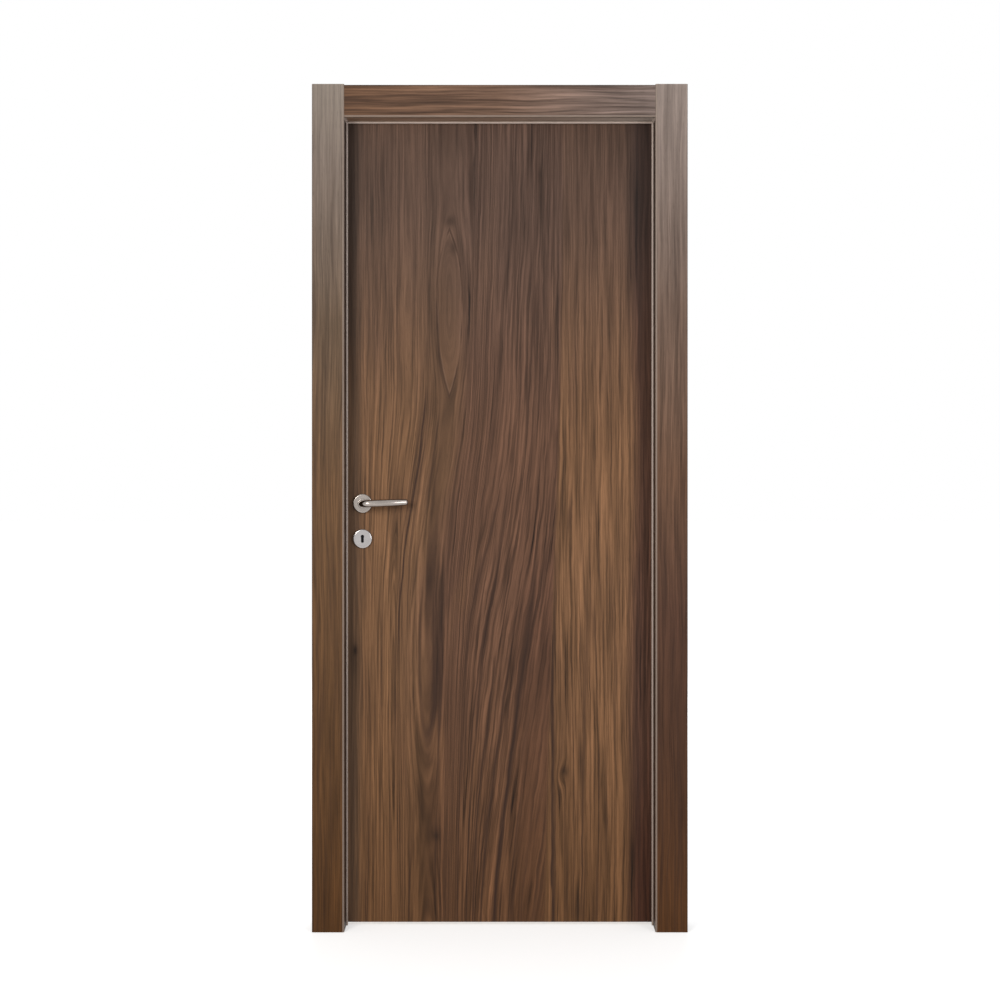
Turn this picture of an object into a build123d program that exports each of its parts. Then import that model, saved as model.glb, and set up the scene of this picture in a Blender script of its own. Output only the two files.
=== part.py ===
from build123d import *
import math
import os

os.makedirs("parts", exist_ok=True)

# Doorway and frame
clear_width = 800
clear_height = 2095
jamb_depth = 100
jamb_thickness = 40

# Leaf and the gaps round it
leaf_thickness = 40
leaf_lap = 8
leaf_gap = 6.5
stop_gap = 5
floor_gap = 8
skin_thickness = 4
edge_thickness = 2.5
leaf_edge_radius = 1
stile_width = 35
rail_height = 60

# Casings
casing_width = 83
casing_thickness = 12
head_casing_thickness = 10
casing_edge_radius = 3.5
casing_horn = 1.5
back_casing_setback = 11.5
tongue_thickness = 4
tongue_depth = 10
groove_clearance = 0.3

# Seal in the stop
seal_show = 4
seal_lap = 6.5
seal_edge_radius = 1.5
seal_barb_width = 2.6
seal_barb_depth = 6
seal_clearance = 0.4

# Butt hinges
hinge_height = 100
hinge_plate_width = 30
hinge_corner_radius = 8
barrel_diameter = 14
barrel_edge_radius = 2.5
barrel_standoff = 1
pin_diameter = 7
pin_length = 40
pin_clearance = 0.05
knuckle_gap = 0.3
top_hinge_drop = 200
bottom_hinge_rise = 250

# Lock in the leaf and strike in the frame
backset = 50
handle_height = 1100
key_drop = 92
case_thickness = 14
case_depth = 78
case_margin = 40
case_clearance = 0.5
block_width = 70
block_margin = 40
faceplate_width = 22
faceplate_margin = 30
plate_clearance = 0.2
bolt_thickness = 11
latch_bolt_height = 24
latch_nose = 2
dead_bolt_height = 30
bolt_length = 25
bolt_clearance = 0.2
strike_width = 26
strike_pocket_depth = 16
strike_window_clearance = 2

# Roses, key plates and levers
plate_diameter = 50
plate_height = 8
plate_rim_width = 5
plate_edge_radius = 3
plate_dish_depth = 1.5
collar_diameter = 25
collar_height = 10
collar_edge_radius = 1.5
keyhole_round = 9
keyhole_slot_width = 7.2
keyhole_height = 21
keyhole_foot_radius = 3
keyway_depth = 5
lever_diameter = 16
lever_grip_diameter = 18.5
lever_tip_diameter = 16
lever_standoff = 50
lever_bend_radius = 20
lever_grip_radius = 300
lever_reach = 120
lever_tip_radius = 7
lever_rise_angle = 2
lever_foot_gap = 1
rose_clearance = 0.08
spindle_width = 8
spindle_insert = 26
spindle_bore_clearance = 0.35
spindle_hole = 15

# Positions along the width, from the wall face of the hinge jamb
clear_hinge_x = -jamb_thickness
clear_latch_x = clear_hinge_x - clear_width
middle_x = (clear_hinge_x + clear_latch_x) / 2
leaf_hinge_x = clear_hinge_x + leaf_lap
leaf_latch_x = clear_latch_x - leaf_lap
leaf_width = leaf_hinge_x - leaf_latch_x
rebate_depth = leaf_lap + leaf_gap
rebate_hinge_x = clear_hinge_x + rebate_depth
rebate_latch_x = clear_latch_x - rebate_depth

# Positions through the wall
front_y = -jamb_depth / 2
back_y = jamb_depth / 2
leaf_front_y = back_y - leaf_thickness
leaf_middle_y = back_y - leaf_thickness / 2
stop_y = leaf_front_y - stop_gap
core_thickness = leaf_thickness - 2 * skin_thickness

# Positions up from the floor
leaf_top_z = clear_height + leaf_lap
leaf_height = leaf_top_z - floor_gap
core_top_z = leaf_top_z - edge_thickness
core_height = core_top_z - floor_gap
key_height = handle_height - key_drop

# The far jamb, casing and seal are mirror twins, and so are the two sides of the leaf
width_mirror = Plane(origin=(middle_x, 0, 0), z_dir=(1, 0, 0))
leaf_mirror = Plane(origin=(0, leaf_middle_y, 0), z_dir=(0, 1, 0))

# Section planes run outward from the edge of the doorway, with Y as their second axis
hinge_side = Plane(origin=(clear_hinge_x, 0, 0), x_dir=(1, 0, 0), z_dir=(0, 0, 1))
head_side = Plane(origin=(middle_x, 0, clear_height), x_dir=(0, 0, 1), z_dir=(-1, 0, 0))
leg_mitre = Plane(origin=(clear_hinge_x, 0, clear_height), z_dir=(1, 0, -1))
head_mitre_hinge = Plane(origin=(clear_hinge_x, 0, clear_height), z_dir=(-1, 0, 1))
head_mitre_latch = Plane(origin=(clear_latch_x, 0, clear_height), z_dir=(1, 0, 1))

tongue_offset = (rebate_depth + back_casing_setback + jamb_thickness) / 2
barb_offset = seal_lap / 2
groove_width = tongue_thickness + 2 * groove_clearance
groove_depth = tongue_depth + groove_clearance
barb_groove_width = seal_barb_width + 2 * groove_clearance
barb_groove_depth = seal_barb_depth + groove_clearance


def jamb_section(side):
    with BuildSketch(side) as section:
        with Locations((0, front_y)):
            Rectangle(jamb_thickness, jamb_depth, align=Align.MIN)
        with Locations((0, back_y)):
            Rectangle(rebate_depth, back_y - stop_y, align=(Align.MIN, Align.MAX), mode=Mode.SUBTRACT)
        with Locations((barb_offset, stop_y)):
            Rectangle(
                barb_groove_width,
                barb_groove_depth,
                align=(Align.CENTER, Align.MAX),
                mode=Mode.SUBTRACT,
            )
        with Locations((tongue_offset, front_y)):
            Rectangle(
                groove_width, groove_depth, align=(Align.CENTER, Align.MIN), mode=Mode.SUBTRACT
            )
        with Locations((tongue_offset, back_y)):
            Rectangle(
                groove_width, groove_depth, align=(Align.CENTER, Align.MAX), mode=Mode.SUBTRACT
            )
    return section.sketch


def seal_section(side):
    with BuildSketch(side) as section:
        with Locations((-seal_show, stop_y)):
            Rectangle(seal_show + seal_lap, stop_gap - seal_clearance, align=Align.MIN)
        fillet(section.vertices(), seal_edge_radius)
        with Locations((barb_offset, stop_y - seal_barb_depth)):
            Rectangle(
                seal_barb_width, seal_barb_depth + stop_gap / 2, align=(Align.CENTER, Align.MIN)
            )
    return section.sketch


def front_board_section(side, thickness):
    with BuildSketch(side) as section:
        with Locations((0, front_y)):
            Rectangle(casing_width, thickness, align=(Align.MIN, Align.MAX))
        fillet(section.vertices().group_by(Axis.Y)[0], casing_edge_radius)
    return section.sketch


def back_board_section(side, thickness):
    with BuildSketch(side) as section:
        with Locations((rebate_depth + back_casing_setback, back_y)):
            Rectangle(
                casing_width - rebate_depth - back_casing_setback, thickness, align=Align.MIN
            )
        fillet(section.vertices().group_by(Axis.Y)[-1], casing_edge_radius)
    return section.sketch


def tongue_section(side, seat_y, align):
    with BuildSketch(side) as section:
        with Locations((tongue_offset, seat_y)):
            Rectangle(tongue_thickness, tongue_depth, align=(Align.CENTER, align))
    return section.sketch


# Hinge plates have round inner corners and lie in pockets of the jamb and the leaf's edge
hinge_plate = edge_thickness
jamb_plate_side = Plane(origin=(rebate_hinge_x, back_y, 0), x_dir=(0, 1, 0), z_dir=(1, 0, 0))
leaf_plate_side = Plane(origin=(leaf_hinge_x, back_y, 0), x_dir=(0, 1, 0), z_dir=(-1, 0, 0))


def hinge_outline(side, margin):
    with BuildSketch(side) as outline:
        Rectangle(
            hinge_plate_width + margin,
            hinge_height + 2 * margin,
            align=(Align.MAX, Align.CENTER),
        )
        fillet(outline.vertices().group_by(Axis.X)[0], hinge_corner_radius + margin)
    return outline.sketch


with BuildPart() as jamb_hinge_pocket:
    extrude(hinge_outline(jamb_plate_side, plate_clearance), amount=hinge_plate)

with BuildPart() as leaf_hinge_pocket:
    extrude(hinge_outline(leaf_plate_side, plate_clearance), amount=2 * hinge_plate, both=True)

# Frame jambs, mitred at the top corners
leg_height = clear_height + jamb_thickness
top_hinge_z = leaf_top_z - top_hinge_drop
bottom_hinge_z = floor_gap + bottom_hinge_rise
middle_hinge_z = (top_hinge_z + bottom_hinge_z) / 2

with BuildPart() as hinge_jamb:
    extrude(jamb_section(hinge_side), amount=leg_height)
    split(bisect_by=leg_mitre, keep=Keep.TOP)
    with Locations((0, 0, top_hinge_z), (0, 0, middle_hinge_z), (0, 0, bottom_hinge_z)):
        add(jamb_hinge_pocket.part, mode=Mode.SUBTRACT)
hinge_jamb.part.label = "hinge_jamb"
export_step(hinge_jamb.part, "parts/hinge_jamb.step")

lock_middle_z = (handle_height + key_height) / 2
case_height = key_drop + 2 * case_margin
faceplate_height = case_height + 2 * faceplate_margin
faceplate = edge_thickness
strike_height = faceplate_height
latch_window = latch_bolt_height + 2 * strike_window_clearance
dead_window = dead_bolt_height + 2 * strike_window_clearance
bolt_window = bolt_thickness + 2 * strike_window_clearance
strike_side = Plane(
    origin=(rebate_latch_x, leaf_middle_y, lock_middle_z), x_dir=(0, 0, 1), z_dir=(-1, 0, 0)
)

with BuildPart() as latch_jamb:
    extrude(jamb_section(hinge_side), amount=leg_height)
    split(bisect_by=leg_mitre, keep=Keep.TOP)
    mirror(about=width_mirror, mode=Mode.REPLACE)
    with BuildSketch(strike_side):
        SlotOverall(strike_height + 2 * plate_clearance, strike_width + 2 * plate_clearance)
    extrude(amount=faceplate, mode=Mode.SUBTRACT)
    with Locations((rebate_latch_x, leaf_middle_y, handle_height)):
        Box(
            strike_pocket_depth,
            bolt_window,
            latch_window,
            align=(Align.MAX, Align.CENTER, Align.CENTER),
            mode=Mode.SUBTRACT,
        )
    with Locations((rebate_latch_x, leaf_middle_y, key_height)):
        Box(
            strike_pocket_depth,
            bolt_window,
            dead_window,
            align=(Align.MAX, Align.CENTER, Align.CENTER),
            mode=Mode.SUBTRACT,
        )
latch_jamb.part.label = "latch_jamb"
export_step(latch_jamb.part, "parts/latch_jamb.step")

with BuildPart() as head_jamb:
    extrude(jamb_section(head_side), amount=clear_width / 2 + jamb_thickness, both=True)
    split(bisect_by=head_mitre_hinge, keep=Keep.TOP)
    split(bisect_by=head_mitre_latch, keep=Keep.TOP)
head_jamb.part.label = "head_jamb"
export_step(head_jamb.part, "parts/head_jamb.step")

# Seals in the stop, mitred like the jambs
with BuildPart() as hinge_side_seal:
    extrude(seal_section(hinge_side), amount=leg_height)
    split(bisect_by=leg_mitre, keep=Keep.TOP)
hinge_side_seal.part.label = "hinge_side_seal"
export_step(hinge_side_seal.part, "parts/hinge_side_seal.step")

with BuildPart() as latch_side_seal:
    mirror(hinge_side_seal.part, about=width_mirror)
latch_side_seal.part.label = "latch_side_seal"
export_step(latch_side_seal.part, "parts/latch_side_seal.step")

with BuildPart() as head_seal:
    extrude(seal_section(head_side), amount=clear_width / 2 + jamb_thickness, both=True)
    split(bisect_by=head_mitre_hinge, keep=Keep.TOP)
    split(bisect_by=head_mitre_latch, keep=Keep.TOP)
head_seal.part.label = "head_seal"
export_step(head_seal.part, "parts/head_seal.step")

# Casings, legs running past the head, each held by a tongue in the jamb
casing_leg_height = clear_height + casing_width + casing_horn

with BuildPart() as front_casing_hinge:
    extrude(front_board_section(hinge_side, casing_thickness), amount=casing_leg_height)
    extrude(tongue_section(hinge_side, front_y, Align.MIN), amount=clear_height)
front_casing_hinge.part.label = "front_casing_hinge"
export_step(front_casing_hinge.part, "parts/front_casing_hinge.step")

with BuildPart() as front_casing_latch:
    mirror(front_casing_hinge.part, about=width_mirror)
front_casing_latch.part.label = "front_casing_latch"
export_step(front_casing_latch.part, "parts/front_casing_latch.step")

with BuildPart() as front_casing_head:
    extrude(
        front_board_section(head_side, head_casing_thickness), amount=clear_width / 2, both=True
    )
    extrude(tongue_section(head_side, front_y, Align.MIN), amount=clear_width / 2, both=True)
front_casing_head.part.label = "front_casing_head"
export_step(front_casing_head.part, "parts/front_casing_head.step")

with BuildPart() as back_casing_hinge:
    extrude(back_board_section(hinge_side, casing_thickness), amount=casing_leg_height)
    extrude(tongue_section(hinge_side, back_y, Align.MAX), amount=clear_height)
back_casing_hinge.part.label = "back_casing_hinge"
export_step(back_casing_hinge.part, "parts/back_casing_hinge.step")

with BuildPart() as back_casing_latch:
    mirror(back_casing_hinge.part, about=width_mirror)
back_casing_latch.part.label = "back_casing_latch"
export_step(back_casing_latch.part, "parts/back_casing_latch.step")

back_head_half = clear_width / 2 + rebate_depth + back_casing_setback

with BuildPart() as back_casing_head:
    extrude(
        back_board_section(head_side, head_casing_thickness), amount=back_head_half, both=True
    )
    extrude(tongue_section(head_side, back_y, Align.MAX), amount=clear_width / 2, both=True)
back_casing_head.part.label = "back_casing_head"
export_step(back_casing_head.part, "parts/back_casing_head.step")

# Strike plate let into the latch jamb
with BuildPart() as strike_plate:
    with BuildSketch(strike_side):
        SlotOverall(strike_height, strike_width)
    extrude(amount=faceplate)
    with Locations((rebate_latch_x, leaf_middle_y, handle_height)):
        Box(4 * faceplate, bolt_window, latch_window, mode=Mode.SUBTRACT)
    with Locations((rebate_latch_x, leaf_middle_y, key_height)):
        Box(4 * faceplate, bolt_window, dead_window, mode=Mode.SUBTRACT)
strike_plate.part.label = "strike_plate"
export_step(strike_plate.part, "parts/strike_plate.step")

# Hinges: the frame half carries the pin, the leaf half turns on it
barrel_x = leaf_hinge_x + leaf_gap / 2
barrel_y = back_y + barrel_diameter / 2 + barrel_standoff
knuckle_height = (hinge_height - knuckle_gap) / 2
frame_knuckle_z = -hinge_height / 2
leaf_knuckle_z = frame_knuckle_z + knuckle_height + knuckle_gap
pin_bore = pin_diameter + 2 * pin_clearance

with BuildPart() as frame_hinge_half:
    with Locations((barrel_x, barrel_y, frame_knuckle_z)):
        Cylinder(barrel_diameter / 2, knuckle_height, align=(Align.CENTER, Align.CENTER, Align.MIN))
    fillet(frame_hinge_half.edges().group_by(Axis.Z)[0], barrel_edge_radius)
    extrude(hinge_outline(jamb_plate_side, 0), amount=hinge_plate)
    with Locations((rebate_hinge_x, back_y, frame_knuckle_z + barrel_edge_radius)):
        Box(hinge_plate, barrel_y - back_y, knuckle_height - barrel_edge_radius, align=Align.MIN)
    with Locations((barrel_x, barrel_y, frame_knuckle_z + knuckle_height)):
        Cylinder(pin_diameter / 2, pin_length, align=(Align.CENTER, Align.CENTER, Align.MIN))

with BuildPart() as leaf_hinge_half:
    with Locations((barrel_x, barrel_y, leaf_knuckle_z)):
        Cylinder(barrel_diameter / 2, knuckle_height, align=(Align.CENTER, Align.CENTER, Align.MIN))
    fillet(leaf_hinge_half.edges().group_by(Axis.Z)[-1], barrel_edge_radius)
    extrude(hinge_outline(leaf_plate_side, 0), amount=hinge_plate)
    with Locations((leaf_hinge_x, back_y, leaf_knuckle_z)):
        Box(
            hinge_plate,
            barrel_y - back_y,
            knuckle_height - barrel_edge_radius,
            align=(Align.MAX, Align.MIN, Align.MIN),
        )
    with Locations((barrel_x, barrel_y, frame_knuckle_z + knuckle_height)):
        Cylinder(
            pin_bore / 2,
            pin_length + 2 * knuckle_gap,
            align=(Align.CENTER, Align.CENTER, Align.MIN),
            mode=Mode.SUBTRACT,
        )

with BuildPart() as upper_hinge_frame:
    with Locations((0, 0, top_hinge_z)):
        add(frame_hinge_half.part)
upper_hinge_frame.part.label = "upper_hinge_frame"
export_step(upper_hinge_frame.part, "parts/upper_hinge_frame.step")

with BuildPart() as middle_hinge_frame:
    with Locations((0, 0, middle_hinge_z)):
        add(frame_hinge_half.part)
middle_hinge_frame.part.label = "middle_hinge_frame"
export_step(middle_hinge_frame.part, "parts/middle_hinge_frame.step")

with BuildPart() as lower_hinge_frame:
    with Locations((0, 0, bottom_hinge_z)):
        add(frame_hinge_half.part)
lower_hinge_frame.part.label = "lower_hinge_frame"
export_step(lower_hinge_frame.part, "parts/lower_hinge_frame.step")

with BuildPart() as upper_hinge_leaf:
    with Locations((0, 0, top_hinge_z)):
        add(leaf_hinge_half.part)
upper_hinge_leaf.part.label = "upper_hinge_leaf"
export_step(upper_hinge_leaf.part, "parts/upper_hinge_leaf.step")

with BuildPart() as middle_hinge_leaf:
    with Locations((0, 0, middle_hinge_z)):
        add(leaf_hinge_half.part)
middle_hinge_leaf.part.label = "middle_hinge_leaf"
export_step(middle_hinge_leaf.part, "parts/middle_hinge_leaf.step")

with BuildPart() as lower_hinge_leaf:
    with Locations((0, 0, bottom_hinge_z)):
        add(leaf_hinge_half.part)
lower_hinge_leaf.part.label = "lower_hinge_leaf"
export_step(lower_hinge_leaf.part, "parts/lower_hinge_leaf.step")

# Leaf: two skins on a hollow frame of stiles and rails, banded on three edges
handle_x = leaf_latch_x + backset
stile_latch_x = leaf_latch_x + edge_thickness
stile_hinge_x = leaf_hinge_x - edge_thickness
skin_width = leaf_width - 2 * edge_thickness
rail_width = skin_width - 2 * stile_width
block_height = case_height + 2 * block_margin
keyhole_drop = keyhole_height - keyhole_round / 2
keyhole_round_z = key_height + (keyhole_height - keyhole_round) / 2


def keyhole(side, margin):
    with BuildSketch(side) as outline:
        Circle(keyhole_round / 2 + margin)
        with Locations((0, -keyhole_drop / 2)):
            Rectangle(keyhole_slot_width + 2 * margin, keyhole_drop + 2 * margin)
        fillet(outline.vertices().group_by(Axis.Y)[0], keyhole_foot_radius + margin)
    return outline.sketch


front_handle = Plane(
    origin=(handle_x, leaf_front_y, handle_height), x_dir=(1, 0, 0), z_dir=(0, -1, 0)
)
front_key = Plane(
    origin=(handle_x, leaf_front_y, keyhole_round_z), x_dir=(1, 0, 0), z_dir=(0, -1, 0)
)
keyhole_margin = 1
lock_side = Plane(
    origin=(leaf_latch_x, leaf_middle_y, lock_middle_z), x_dir=(0, 0, 1), z_dir=(1, 0, 0)
)

with BuildPart() as leaf_front_skin:
    with Locations((middle_x, leaf_front_y, floor_gap)):
        Box(skin_width, skin_thickness, core_height, align=(Align.CENTER, Align.MIN, Align.MIN))
    with BuildSketch(front_handle):
        Circle(spindle_hole / 2)
    extrude(amount=-leaf_thickness, mode=Mode.SUBTRACT)
    extrude(keyhole(front_key, keyhole_margin), amount=-leaf_thickness, mode=Mode.SUBTRACT)
leaf_front_skin.part.label = "leaf_front_skin"
export_step(leaf_front_skin.part, "parts/leaf_front_skin.step")

with BuildPart() as leaf_back_skin:
    mirror(leaf_front_skin.part, about=leaf_mirror)
leaf_back_skin.part.label = "leaf_back_skin"
export_step(leaf_back_skin.part, "parts/leaf_back_skin.step")

mortise_height = case_height + 2 * case_clearance
mortise_thickness = case_thickness + 2 * case_clearance
mortise_depth = case_depth + case_clearance

with BuildPart() as leaf_latch_stile:
    with Locations((stile_latch_x, leaf_middle_y, floor_gap)):
        Box(stile_width, core_thickness, core_height, align=(Align.MIN, Align.CENTER, Align.MIN))
    with Locations((stile_latch_x, leaf_middle_y, lock_middle_z)):
        Box(4 * mortise_depth, mortise_thickness, mortise_height, mode=Mode.SUBTRACT)
leaf_latch_stile.part.label = "leaf_latch_stile"
export_step(leaf_latch_stile.part, "parts/leaf_latch_stile.step")

with BuildPart() as leaf_hinge_stile:
    with Locations((stile_hinge_x, leaf_middle_y, floor_gap)):
        Box(stile_width, core_thickness, core_height, align=(Align.MAX, Align.CENTER, Align.MIN))
leaf_hinge_stile.part.label = "leaf_hinge_stile"
export_step(leaf_hinge_stile.part, "parts/leaf_hinge_stile.step")

with BuildPart() as leaf_bottom_rail:
    with Locations((middle_x, leaf_middle_y, floor_gap)):
        Box(rail_width, core_thickness, rail_height, align=(Align.CENTER, Align.CENTER, Align.MIN))
leaf_bottom_rail.part.label = "leaf_bottom_rail"
export_step(leaf_bottom_rail.part, "parts/leaf_bottom_rail.step")

with BuildPart() as leaf_top_rail:
    with Locations((middle_x, leaf_middle_y, core_top_z)):
        Box(rail_width, core_thickness, rail_height, align=(Align.CENTER, Align.CENTER, Align.MAX))
leaf_top_rail.part.label = "leaf_top_rail"
export_step(leaf_top_rail.part, "parts/leaf_top_rail.step")

with BuildPart() as leaf_lock_block:
    with Locations((stile_latch_x + stile_width, leaf_middle_y, lock_middle_z)):
        Box(block_width, core_thickness, block_height, align=(Align.MIN, Align.CENTER, Align.CENTER))
    with Locations((stile_latch_x, leaf_middle_y, lock_middle_z)):
        Box(
            mortise_depth,
            mortise_thickness,
            mortise_height,
            align=(Align.MIN, Align.CENTER, Align.CENTER),
            mode=Mode.SUBTRACT,
        )
    with BuildSketch(front_handle):
        Circle(spindle_hole / 2)
    extrude(amount=-leaf_thickness, mode=Mode.SUBTRACT)
    extrude(keyhole(front_key, keyhole_margin), amount=-leaf_thickness, mode=Mode.SUBTRACT)
leaf_lock_block.part.label = "leaf_lock_block"
export_step(leaf_lock_block.part, "parts/leaf_lock_block.step")

with BuildPart() as leaf_latch_edge:
    with Locations((leaf_latch_x, leaf_middle_y, floor_gap)):
        Box(edge_thickness, leaf_thickness, leaf_height, align=(Align.MIN, Align.CENTER, Align.MIN))
    fillet(leaf_latch_edge.edges().filter_by(Axis.Z).group_by(Axis.X)[0], leaf_edge_radius)
    with BuildSketch(lock_side):
        SlotOverall(faceplate_height + 2 * plate_clearance, faceplate_width + 2 * plate_clearance)
    extrude(amount=2 * edge_thickness, both=True, mode=Mode.SUBTRACT)
leaf_latch_edge.part.label = "leaf_latch_edge"
export_step(leaf_latch_edge.part, "parts/leaf_latch_edge.step")

with BuildPart() as leaf_hinge_edge:
    with Locations((leaf_hinge_x, leaf_middle_y, floor_gap)):
        Box(edge_thickness, leaf_thickness, leaf_height, align=(Align.MAX, Align.CENTER, Align.MIN))
    fillet(leaf_hinge_edge.edges().filter_by(Axis.Z).group_by(Axis.X)[-1], leaf_edge_radius)
    with Locations((0, 0, top_hinge_z), (0, 0, middle_hinge_z), (0, 0, bottom_hinge_z)):
        add(leaf_hinge_pocket.part, mode=Mode.SUBTRACT)
leaf_hinge_edge.part.label = "leaf_hinge_edge"
export_step(leaf_hinge_edge.part, "parts/leaf_hinge_edge.step")

with BuildPart() as leaf_top_edge:
    with Locations((middle_x, leaf_middle_y, leaf_top_z)):
        Box(skin_width, leaf_thickness, edge_thickness, align=(Align.CENTER, Align.CENTER, Align.MAX))
    fillet(leaf_top_edge.edges().filter_by(Axis.X).group_by(Axis.Z)[-1], leaf_edge_radius)
leaf_top_edge.part.label = "leaf_top_edge"
export_step(leaf_top_edge.part, "parts/leaf_top_edge.step")

# Mortise lock with both bolts drawn back flush
spindle_bore = spindle_width * math.sqrt(2) + 2 * spindle_bore_clearance
case_front = Plane(
    origin=(handle_x, leaf_middle_y - case_thickness / 2, keyhole_round_z),
    x_dir=(1, 0, 0),
    z_dir=(0, -1, 0),
)
bolt_seat = bolt_length - faceplate

with BuildPart() as keyway:
    extrude(keyhole(case_front, 0), amount=-keyway_depth)
    mirror(about=leaf_mirror)

with BuildPart() as lock_case:
    with Locations((stile_latch_x, leaf_middle_y, lock_middle_z)):
        Box(case_depth, case_thickness, case_height, align=(Align.MIN, Align.CENTER, Align.CENTER))
    with BuildSketch(front_handle):
        Circle(spindle_bore / 2)
    extrude(amount=-leaf_thickness, mode=Mode.SUBTRACT)
    add(keyway.part, mode=Mode.SUBTRACT)
    with Locations((stile_latch_x, leaf_middle_y, handle_height)):
        Box(
            2 * bolt_seat,
            bolt_thickness + 2 * bolt_clearance,
            latch_bolt_height + 2 * bolt_clearance,
            mode=Mode.SUBTRACT,
        )
    with Locations((stile_latch_x, leaf_middle_y, key_height)):
        Box(
            2 * bolt_seat,
            bolt_thickness + 2 * bolt_clearance,
            dead_bolt_height + 2 * bolt_clearance,
            mode=Mode.SUBTRACT,
        )
lock_case.part.label = "lock_case"
export_step(lock_case.part, "parts/lock_case.step")

with BuildPart() as lock_faceplate:
    with BuildSketch(lock_side):
        SlotOverall(faceplate_height, faceplate_width)
    extrude(amount=faceplate)
    with Locations((leaf_latch_x, leaf_middle_y, handle_height)):
        Box(
            4 * faceplate,
            bolt_thickness + 2 * bolt_clearance,
            latch_bolt_height + 2 * bolt_clearance,
            mode=Mode.SUBTRACT,
        )
    with Locations((leaf_latch_x, leaf_middle_y, key_height)):
        Box(
            4 * faceplate,
            bolt_thickness + 2 * bolt_clearance,
            dead_bolt_height + 2 * bolt_clearance,
            mode=Mode.SUBTRACT,
        )
lock_faceplate.part.label = "lock_faceplate"
export_step(lock_faceplate.part, "parts/lock_faceplate.step")

with BuildPart() as latch_bolt:
    with Locations((leaf_latch_x, leaf_middle_y, handle_height)):
        Box(
            bolt_length,
            bolt_thickness,
            latch_bolt_height,
            align=(Align.MIN, Align.CENTER, Align.CENTER),
        )
    nose = latch_bolt.edges().filter_by(Axis.Z).group_by(Axis.X)[0].sort_by(Axis.Y)[0]
    chamfer(nose, bolt_thickness - latch_nose)
latch_bolt.part.label = "latch_bolt"
export_step(latch_bolt.part, "parts/latch_bolt.step")

with BuildPart() as dead_bolt:
    with Locations((leaf_latch_x, leaf_middle_y, key_height)):
        Box(bolt_length, bolt_thickness, dead_bolt_height, align=(Align.MIN, Align.CENTER, Align.CENTER))
dead_bolt.part.label = "dead_bolt"
export_step(dead_bolt.part, "parts/dead_bolt.step")

# Roses and key plates, turned with a raised rim round a dished face
dish_radius = plate_diameter / 2 - plate_rim_width
rose_bore = lever_diameter / 2 + rose_clearance
handle_profile = Plane(
    origin=(handle_x, leaf_front_y, handle_height), x_dir=(1, 0, 0), z_dir=(0, 0, -1)
)
handle_axis = Axis((handle_x, leaf_front_y, handle_height), (0, -1, 0))

with BuildPart() as front_rose:
    with BuildSketch(handle_profile) as rose_profile:
        with Locations((rose_bore, 0)):
            Rectangle(plate_diameter / 2 - rose_bore, plate_height, align=Align.MIN)
        fillet(rose_profile.vertices().group_by(Axis.X)[-1].sort_by(Axis.Y)[-1], plate_edge_radius)
        with Locations((rose_bore, plate_height)):
            Rectangle(
                dish_radius - rose_bore,
                plate_dish_depth,
                align=(Align.MIN, Align.MAX),
                mode=Mode.SUBTRACT,
            )
        with Locations((rose_bore, 0)):
            Rectangle(collar_diameter / 2 - rose_bore, collar_height, align=Align.MIN)
        fillet(rose_profile.vertices().group_by(Axis.Y)[-1].sort_by(Axis.X)[-1], collar_edge_radius)
    revolve(axis=handle_axis)
front_rose.part.label = "front_rose"
export_step(front_rose.part, "parts/front_rose.step")

with BuildPart() as back_rose:
    mirror(front_rose.part, about=leaf_mirror)
back_rose.part.label = "back_rose"
export_step(back_rose.part, "parts/back_rose.step")

key_profile = Plane(origin=(handle_x, leaf_front_y, key_height), x_dir=(1, 0, 0), z_dir=(0, 0, -1))
key_axis = Axis((handle_x, leaf_front_y, key_height), (0, -1, 0))

with BuildPart() as front_key_plate:
    with BuildSketch(key_profile) as plate_profile:
        Rectangle(plate_diameter / 2, plate_height, align=Align.MIN)
        fillet(plate_profile.vertices().group_by(Axis.X)[-1].sort_by(Axis.Y)[-1], plate_edge_radius)
        with Locations((0, plate_height)):
            Rectangle(dish_radius, plate_dish_depth, align=(Align.MIN, Align.MAX), mode=Mode.SUBTRACT)
    revolve(axis=key_axis)
    extrude(keyhole(front_key, 0), amount=2 * plate_height, mode=Mode.SUBTRACT)
front_key_plate.part.label = "front_key_plate"
export_step(front_key_plate.part, "parts/front_key_plate.step")

with BuildPart() as back_key_plate:
    mirror(front_key_plate.part, about=leaf_mirror)
back_key_plate.part.label = "back_key_plate"
export_step(back_key_plate.part, "parts/back_key_plate.step")

# Levers: a round bar that leaves the rose, swells through the bend and tapers to a rounded tip
rise = math.radians(lever_rise_angle)
lever_plan = Plane(
    origin=(handle_x, leaf_front_y, handle_height),
    x_dir=(math.cos(rise), 0, math.sin(rise)),
    z_dir=(math.sin(rise), 0, -math.cos(rise)),
)
grip_sweep = math.degrees(math.asin((lever_reach - lever_bend_radius) / lever_grip_radius))

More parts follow.
